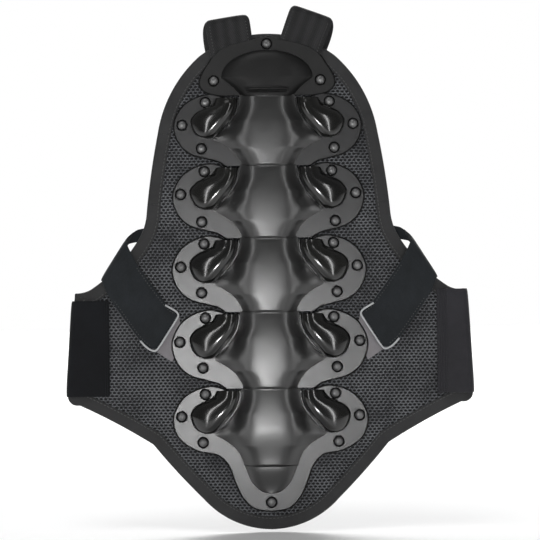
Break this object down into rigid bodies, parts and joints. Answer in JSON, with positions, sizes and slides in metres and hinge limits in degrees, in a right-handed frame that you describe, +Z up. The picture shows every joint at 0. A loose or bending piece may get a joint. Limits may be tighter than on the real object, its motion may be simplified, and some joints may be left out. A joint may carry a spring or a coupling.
{
  "type": "back protector",
  "caption": "Wearable back protector: overlapping hard plates riveted down a padded mesh panel with waist wings, shoulder straps, hook tabs and a waist belt.",
  "frame": {"origin": "middle of the lining face that lies on the wearer's back", "axes": "+X to the right of someone facing the plates, +Z up the spine towards the neck, plates face -Y"},
  "size_m": [0.4525, 0.0447, 0.5804],
  "materials": {
    "plate_plastic": "satin moulded",
    "rivet_cap": "satin domed head",
    "washer_steel": "zinc plated",
    "mesh_fabric": "open spacer mesh",
    "foam": "closed-cell foam",
    "lining_fabric": "brushed knit",
    "binding_tape": "woven tape",
    "webbing": "woven webbing",
    "strap_elastic": "brushed elastic",
    "trim": "raised line",
    "patch": "satin loop",
    "belt_elastic": "woven elastic",
    "hook_tape": "hook tape"
  },
  "bodies": {
    "cap": {"binding_cap": "binding_tape", "foam_cap": "foam", "lining_cap": "lining_fabric", "mesh_cap": "mesh_fabric", "plate_cap": "plate_plastic", "rivets_cap": "rivet_cap", "washers_cap": "washer_steel", "shoulder_strap_left": "webbing", "shoulder_strap_right": "webbing"},
    "segment_1": {"binding_1": "binding_tape", "foam_1": "foam", "lining_1": "lining_fabric", "mesh_1": "mesh_fabric", "plate_1": "plate_plastic", "rivets_1": "rivet_cap", "washers_1": "washer_steel", "strap_runs_1": "webbing"},
    "segment_2": {"binding_2": "binding_tape", "foam_2": "foam", "lining_2": "lining_fabric", "mesh_2": "mesh_fabric", "plate_2": "plate_plastic", "rivets_2": "rivet_cap", "washers_2": "washer_steel", "strap_runs_2": "webbing"},
    "segment_3": {"binding_3": "binding_tape", "foam_3": "foam", "lining_3": "lining_fabric", "mesh_3": "mesh_fabric", "plate_3": "plate_plastic", "rivets_3": "rivet_cap", "washers_3": "washer_steel", "waist_strap_left": "strap_elastic", "waist_strap_right": "strap_elastic"},
    "segment_4": {"binding_4": "binding_tape", "foam_4": "foam", "lining_4": "lining_fabric", "mesh_4": "mesh_fabric", "plate_4": "plate_plastic", "rivets_4": "rivet_cap", "washers_4": "washer_steel", "loop_patch_left": "patch", "loop_patch_right": "patch", "belt_anchor_left": "belt_elastic", "belt_anchor_right": "belt_elastic"},
    "tail": {"binding_tail": "binding_tape", "foam_tail": "foam", "lining_tail": "lining_fabric", "mesh_tail": "mesh_fabric", "plate_tail": "plate_plastic", "rivets_tail": "rivet_cap", "washers_tail": "washer_steel"},
    "strap_tab_left": {"strap_tab_left": "strap_elastic", "strap_trim_left": "trim"},
    "strap_tab_right": {"strap_tab_right": "strap_elastic", "strap_trim_right": "trim"},
    "belt_left": {"waist_belt_left": "belt_elastic", "belt_hook_pad": "hook_tape"},
    "belt_right": {"waist_belt_right": "belt_elastic"}
  },
  "joints": [
    {"name": "flex_1", "type": "hinge", "parent": "cap", "child": "segment_1", "pos_m": [0, -0.011, 0.203], "axis": [1, 0, 0], "range_deg": [0, 10], "stiffness_Nm_per_rad": 3},
    {"name": "flex_2", "type": "hinge", "parent": "segment_1", "child": "segment_2", "pos_m": [0, -0.011, 0.1265], "axis": [1, 0, 0], "range_deg": [0, 10], "stiffness_Nm_per_rad": 3},
    {"name": "flex_3", "type": "hinge", "parent": "segment_2", "child": "segment_3", "pos_m": [0, -0.011, 0.0468], "axis": [1, 0, 0], "range_deg": [0, 10], "stiffness_Nm_per_rad": 3},
    {"name": "flex_4", "type": "hinge", "parent": "segment_3", "child": "segment_4", "pos_m": [0, -0.011, -0.0347], "axis": [1, 0, 0], "range_deg": [0, 10], "stiffness_Nm_per_rad": 3},
    {"name": "flex_5", "type": "hinge", "parent": "segment_4", "child": "tail", "pos_m": [0, -0.011, -0.1188], "axis": [1, 0, 0], "range_deg": [0, 10], "stiffness_Nm_per_rad": 3},
    {"name": "tab_left_peel", "type": "hinge", "parent": "segment_3", "child": "strap_tab_left", "pos_m": [-0.16902, -0.01695, 0.02418], "axis": [-0.4957, 0, -0.8685], "range_deg": [0, 75]},
    {"name": "tab_right_peel", "type": "hinge", "parent": "segment_3", "child": "strap_tab_right", "pos_m": [0.16902, -0.01695, 0.02418], "axis": [-0.4957, 0, 0.8685], "range_deg": [0, 75]},
    {"name": "belt_left_swing", "type": "hinge", "parent": "segment_4", "child": "belt_left", "pos_m": [-0.22195, 0.00985, -0.068], "axis": [0.0769, 0, 0.997], "range_deg": [0, 120]},
    {"name": "belt_right_swing", "type": "hinge", "parent": "segment_4", "child": "belt_right", "pos_m": [0.22195, 0.00985, -0.068], "axis": [0.0769, 0, -0.997], "range_deg": [0, 120]}
  ]
}
